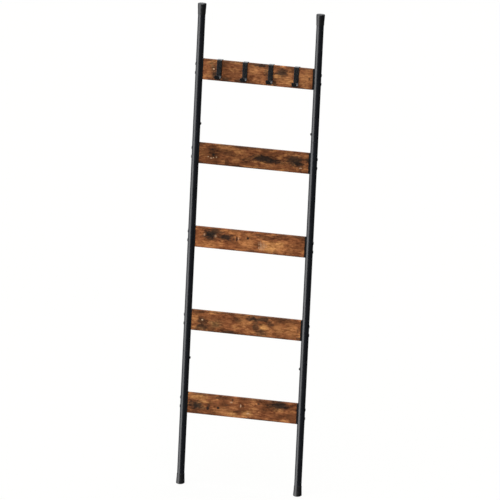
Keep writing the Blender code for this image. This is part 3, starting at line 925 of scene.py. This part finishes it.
def domed_head(radius, height, crown_share, edge_share):
    """A fastener head's outline: a flat crown, a round shoulder and an upright edge.

    The crown's width is a share of the head's radius, and the edge's height a share of its height.
    """
    outline = [(0, height)]
    for i in range(DOME_STEPS + 1):
        angle = math.radians(90 * i / DOME_STEPS)
        across = crown_share + (1 - crown_share) * math.sin(angle)
        up = edge_share + (1 - edge_share) * math.cos(angle)
        outline.append((radius * across, height * up))
    return [*outline, (radius, HEAD_EDGE), (radius - HEAD_EDGE, 0)]


def threaded(radius, top, bottom, pitch):
    """The outline of a threaded shank, as rings with crests and roots, from top to bottom."""
    root = radius - pitch * THREAD_DEPTH_SHARE
    crest = pitch * THREAD_CREST_SHARE
    points = []
    height = top
    while height - pitch > bottom:
        points += [(radius, height - crest), (root, height - pitch / 2), (radius, height - pitch + crest)]
        height -= pitch
    return points + [(root, height - crest), (root, bottom), (0, bottom)]


def bolt_mesh():
    """A button-head bolt, head up, the underside of its head at height 0, with a hex socket."""
    reach = 2 * TUBE_RADIUS + SADDLE_WALL + 4 * GAP + BOLT_GRIP_IN_BOARD
    plain = 2 * TUBE_RADIUS + SADDLE_WALL
    profile = domed_head(BOLT_HEAD_RADIUS, BOLT_HEAD_HEIGHT, *BOLT_HEAD_SHARES)
    profile += [(BOLT_RADIUS, 0), (BOLT_RADIUS, -plain)]
    profile += threaded(BOLT_RADIUS, -plain, -reach, BOLT_THREAD_PITCH)
    blank = turned("bolt_blank", profile, FASTENER_SIDES)
    corner = HEX_ACROSS_FLATS / math.sqrt(3)
    socket_floor = BOLT_HEAD_HEIGHT - HEX_DEPTH
    key = rod("hex_key", corner, socket_floor, socket_floor + 2 * HEX_DEPTH, 6)
    return carve(blank, key, "button_head_bolt")


def make_bolts():
    mesh = bolt_mesh()
    for number in range(1, 6):
        height = middle(f"rung_board_{number}").z
        for side, sign in SIDES.items():
            for level, offset in (("upper", BOLT_SPREAD / 2), ("lower", -BOLT_SPREAD / 2)):
                node = f"rung_{number}_{side}_{level}_bolt"
                seat = Matrix.Translation((sign * (POST_X + TUBE_RADIUS + GAP), 0, height + offset))
                turn = BOLT_TURN_PER_RUNG * number + BOLT_TURN_BETWEEN_PAIR * offset / BOLT_SPREAD
                at = seat @ spin("X", turn) @ spin("Y", sign * 90)
                name = f"rung_{number}_{side}_{level}_button_bolt"
                place(name, mesh, node, OXIDE, at)


def cross_key(width, span, depth, top):
    """A cutter for a cross recess: two tapered blades at right angles, which stand out above the head."""
    shape = bmesh.new()
    half, reach = width / 2, span / 2
    plan = []
    for quarter in range(4):
        turn = math.radians(90 * quarter)
        for x, y in ((half, -half), (reach, -half), (reach, half)):
            c, s = math.cos(turn), math.sin(turn)
            plan.append((x * c - y * s, x * s + y * c))
    floor, mouth = CROSS_FLOOR_SHARE, CROSS_MOUTH_SHARE
    above = top + depth * CROSS_OVERSHOOT_SHARE
    low = [shape.verts.new((x * floor, y * floor, top - depth)) for x, y in plan]
    high = [shape.verts.new((x * mouth, y * mouth, above)) for x, y in plan]
    shape.faces.new(low)
    shape.faces.new(high)
    for i in range(len(plan)):
        j = (i + 1) % len(plan)
        shape.faces.new((low[i], low[j], high[j], high[i]))
    return finish_mesh("cross_key", shape)


def screw_mesh():
    """A pan-head screw, head up, the underside of its head at height 0, with a cross recess."""
    profile = domed_head(SCREW_HEAD_RADIUS, SCREW_HEAD_HEIGHT, *SCREW_HEAD_SHARES)
    profile += [(SCREW_RADIUS, 0)]
    profile += threaded(SCREW_RADIUS, -SCREW_PLAIN_LENGTH, -SCREW_LENGTH, SCREW_THREAD_PITCH)
    blank = turned("screw_blank", profile, FASTENER_SIDES)
    key = cross_key(CROSS_WIDTH, CROSS_SPAN, CROSS_DEPTH, SCREW_HEAD_HEIGHT)
    return carve(blank, key, "pan_head_screw")


def make_joint_screws():
    mesh = screw_mesh()
    for side, sign in SIDES.items():
        for level in SCREW_TURNS:
            node = f"{side}_{level}_joint_screw"
            seat = Matrix.Translation((sign * (POST_X - TUBE_RADIUS - GAP), 0, middle(node).z))
            at = seat @ spin("X", SCREW_TURNS[level]) @ spin("Y", -sign * 90)
            place(f"{side}_{level}_pan_screw", mesh, node, OXIDE, at)


# ---------------------------------------------------------------- hooks


def hook_centreline():
    """Points down the middle of the strap's thickness, from the back leg's end to the tip.

    Each is (depth, height), with height 0 at the board's top edge and depth negative at the front.
    They are close together near both ends, where the strap's corners are rounded off.
    """
    half_t = HOOK_THICKNESS / 2
    face = BOARD_THICKNESS / 2 + GAP
    bend = HOOK_BEND_RADIUS + half_t
    line = [(face + half_t, -HOOK_BACK_LEG + i * MM) for i in (*range(7), 12)]
    line += arc((face - HOOK_BEND_RADIUS, HOOK_ROOF - HOOK_BEND_RADIUS), bend, 0, 90, 8)
    line += arc((-face + HOOK_BEND_RADIUS, HOOK_ROOF - HOOK_BEND_RADIUS), bend, 90, 180, 8)
    curl_y = -face - HOOK_THICKNESS - HOOK_CURL_RADIUS
    curl_z = -HOOK_DROP + HOOK_THICKNESS + HOOK_CURL_RADIUS
    line += [(-face - half_t, curl_z + 20 * MM)]
    line += arc((curl_y, curl_z), HOOK_CURL_RADIUS + half_t, 0, -180, 28)
    tip_y = curl_y - HOOK_CURL_RADIUS - half_t
    line += [(tip_y, curl_z + HOOK_TIP_RISE * i / 4) for i in range(1, 5)]
    return line


def strap_section(to_end):
    """The strap's outline across its run, narrower where it rounds off towards an end."""
    lost = 0.0
    if to_end < HOOK_CORNER:
        lost = HOOK_CORNER - math.sqrt(HOOK_CORNER**2 - (HOOK_CORNER - to_end) ** 2)
    half_w = HOOK_WIDTH / 2 - lost - HOOK_RIM
    half_t = HOOK_THICKNESS / 2 - HOOK_RIM
    section = []
    for sx, sy, start in ((1, 1, 0), (-1, 1, 90), (-1, -1, 180), (1, -1, 270)):
        section += arc((sx * half_w, sy * half_t), HOOK_RIM, start, start + 90, 3)
    return section


def hook_mesh():
    """The strap swept along its centreline, with rounded long edges and rounded corners at both ends."""
    line = [Vector(p) for p in hook_centreline()]
    run = [0.0]
    for a, b in zip(line, line[1:]):
        run.append(run[-1] + (b - a).length)
    shape = bmesh.new()
    rings = []
    for i, point in enumerate(line):
        ahead = line[min(i + 1, len(line) - 1)] - line[max(i - 1, 0)]
        ahead.normalize()
        side = Vector((-ahead.y, ahead.x))
        ring = []
        for x, t in strap_section(min(run[i], run[-1] - run[i])):
            spot = point + side * t
            ring.append(shape.verts.new((x, spot.x, spot.y)))
        rings.append(ring)
    for a, b in zip(rings, rings[1:]):
        for i in range(len(a)):
            j = (i + 1) % len(a)
            shape.faces.new((a[i], a[j], b[j], b[i]))
    shape.faces.new(rings[0])
    shape.faces.new(rings[-1])
    return finish_mesh("hook_strap", shape, FLAT_FACE_SHARP_ANGLE)


def make_hooks():
    mesh = hook_mesh()
    board_top = middle("rung_board_1").z + BOARD_HEIGHT / 2
    for number in range(1, 5):
        node = f"hook_{number}"
        at = Matrix.Translation((middle(node).x, 0, board_top))
        place(f"hook_{number}_strap", mesh, node, ENAMEL, at)


# ---------------------------------------------------------------- studio


def emitter(name, strength, albedo):
    """A pale surface that glows almost evenly, and takes a faint shadow if it has some albedo."""
    n = Nodes(name)
    glow = n.noise(n.coords(), 0.9, 2.0)
    tone = n.ramp(glow, [(0.0, tuple(c * 0.995 for c in PAPER_WHITE)), (1.0, PAPER_WHITE)])
    return n.set(
        Base_Color=rgba((albedo, albedo, albedo)),
        Roughness=0.9,
        Specular_IOR_Level=0.0,
        Emission_Color=tone,
        Emission_Strength=strength,
    )


def make_floor():
    mesh = bpy.data.meshes.new("studio_floor")
    shape = bmesh.new()
    bmesh.ops.create_circle(shape, cap_ends=True, segments=96, radius=FLOOR_RADIUS)
    shape.to_mesh(mesh)
    shape.free()
    floor = bpy.data.objects.new("studio_floor", mesh)
    bpy.context.scene.collection.objects.link(floor)
    mesh.materials.append(emitter("pale_floor", FLOOR_GLOW, FLOOR_ALBEDO))
    floor.visible_glossy = False
    floor.visible_diffuse = False
    floor.visible_shadow = False


def make_backdrop():
    """A white dome that only the camera sees, so that low views have a plain pale background too."""
    mesh = bpy.data.meshes.new("studio_backdrop")
    shape = bmesh.new()
    bmesh.ops.create_uvsphere(shape, u_segments=48, v_segments=24, radius=BACKDROP_RADIUS)
    shape.to_mesh(mesh)
    shape.free()
    dome = bpy.data.objects.new("studio_backdrop", mesh)
    bpy.context.scene.collection.objects.link(dome)
    mesh.materials.append(emitter("pale_backdrop", BACKDROP_GLOW, 0.0))
    dome.visible_diffuse = False
    dome.visible_glossy = False
    dome.visible_shadow = False


def room_lobe(tree, toward, way, start, full, strength):
    """How much brighter the room is one way, fading in between two cosines."""
    dot = tree.nodes.new("ShaderNodeVectorMath")
    dot.operation = "DOT_PRODUCT"
    dot.inputs[1].default_value = Vector(way).normalized()
    tree.links.new(toward, dot.inputs[0])
    lobe = tree.nodes.new("ShaderNodeMapRange")
    lobe.interpolation_type = "SMOOTHSTEP"
    for socket, number in zip(RANGE_SOCKETS, (start, full, 0.0, strength)):
        lobe.inputs[socket].default_value = number
    tree.links.new(dot.outputs["Value"], lobe.inputs["Value"])
    return lobe.outputs["Result"]


def make_world():
    """Soft room light: bright on the left, behind and above, and dim everywhere else."""
    world = bpy.data.worlds.new("studio")
    bpy.context.scene.world = world
    world.use_nodes = True
    tree = world.node_tree
    background = tree.nodes["Background"]
    background.inputs["Color"].default_value = (0.95, 0.97, 1.0, 1.0)
    toward = tree.nodes.new("ShaderNodeTexCoord").outputs["Generated"]
    total = tree.nodes.new("ShaderNodeValue").outputs["Value"]
    total.default_value = WORLD_STRENGTH
    for lobe in WORLD_LOBES:
        add = tree.nodes.new("ShaderNodeMath")
        add.operation = "ADD"
        tree.links.new(room_lobe(tree, toward, *lobe), add.inputs[0])
        tree.links.new(total, add.inputs[1])
        total = add.outputs["Value"]
    tree.links.new(total, background.inputs["Strength"])


def direction(azimuth, elevation):
    """The way to a light or a camera. Azimuth 0 is the front, and negative azimuths are on the left."""
    a, e = math.radians(azimuth), math.radians(elevation)
    return Vector((math.sin(a) * math.cos(e), -math.cos(a) * math.cos(e), math.sin(e)))


def place_facing(name, data, way, location):
    """A light or a camera in its place, with its back along the given way."""
    obj = bpy.data.objects.new(name, data)
    bpy.context.scene.collection.objects.link(obj)
    obj.location = location
    obj.rotation_mode = "QUATERNION"
    obj.rotation_quaternion = way.to_track_quat("Z", "Y")
    return obj


def make_lights():
    for name, (azimuth, elevation, strength, softness) in SUNS.items():
        light = bpy.data.lights.new(name, "SUN")
        light.energy = strength
        light.angle = math.radians(softness)
        way = direction(azimuth, elevation)
        place_facing(name, light, way, way * SUN_DISTANCE)


def make_camera():
    camera = bpy.data.cameras.new("camera")
    camera.sensor_width = 36.0
    camera.lens = camera.sensor_width * CAMERA_DISTANCE / PICTURE_WIDTH
    camera.clip_start = 0.1
    camera.clip_end = 200.0
    back = direction(CAMERA_AZIMUTH, CAMERA_ELEVATION)
    location = CAMERA_TARGET + back * CAMERA_DISTANCE
    bpy.context.scene.camera = place_facing("camera", camera, back, location)


make_posts()
make_sleeves()
make_top_caps()
make_feet()
make_boards()
make_saddles()
make_bolts()
make_joint_screws()
make_hooks()
make_floor()
make_backdrop()
make_world()
make_lights()
make_camera()
bpy.context.scene.view_settings.view_transform = "Standard"
